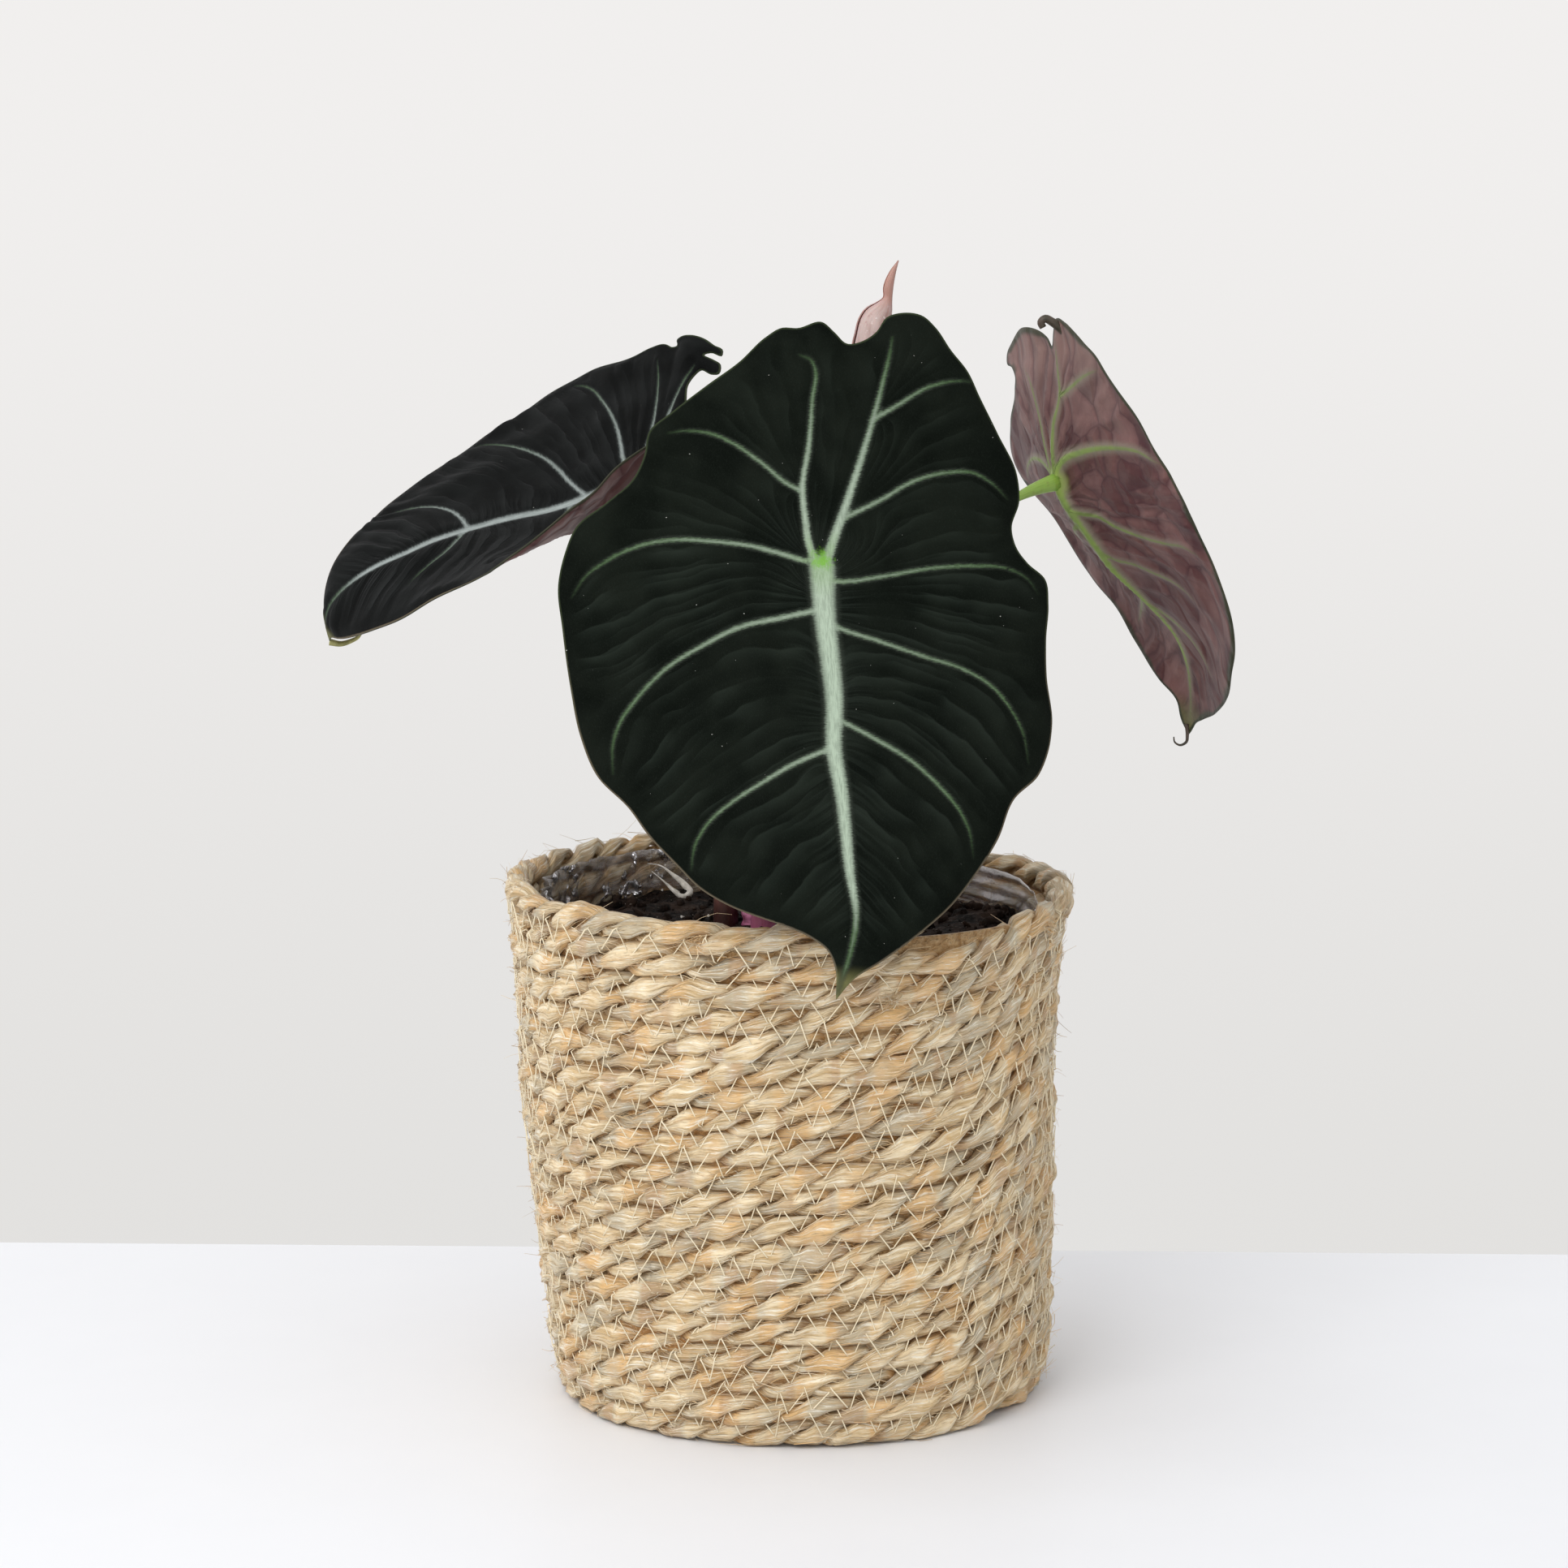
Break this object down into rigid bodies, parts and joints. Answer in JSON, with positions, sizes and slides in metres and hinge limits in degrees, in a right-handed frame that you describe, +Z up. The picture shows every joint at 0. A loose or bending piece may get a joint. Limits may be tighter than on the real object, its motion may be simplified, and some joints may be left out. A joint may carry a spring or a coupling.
{
  "type": "potted house plant",
  "caption": "Small alocasia with dark velvety shield-shaped leaves and pale veins, standing in a round coiled jute rope basket with a film liner and soil.",
  "frame": {"origin": "middle of the basket's flat underside", "axes": "+Z up, along the basket's axis; -Y towards the side that the largest leaf faces; +X to the right as seen from that side"},
  "size_m": [0.2074, 0.1474, 0.2578],
  "materials": {
    "jute": "coarse two-strand jute rope in cream, tan and grey-beige, stitched with thin pale thread",
    "film": "thin clear plastic film, wrinkled and glossy",
    "soil": "damp dark peat with bark crumbs",
    "root_stock": "ringed, dull pinkish brown",
    "blade": "velvety near-black green with silvery veins above, mauve with green veins below",
    "green_stem": "smooth juicy yellow-green",
    "pink_stem": "satin dusty pink"
  },
  "bodies": {
    "root": {"basket": "jute", "liner": "film", "soil": "soil", "root_stock": "root_stock", "leaf_front": "blade", "leaf_left": "blade", "leaf_right": "blade", "leaf_rolled": "pink_stem", "stem_front": "green_stem", "stem_left": "green_stem", "stem_right": "green_stem", "stem_rolled": "pink_stem"}
  },
  "joints": []
}
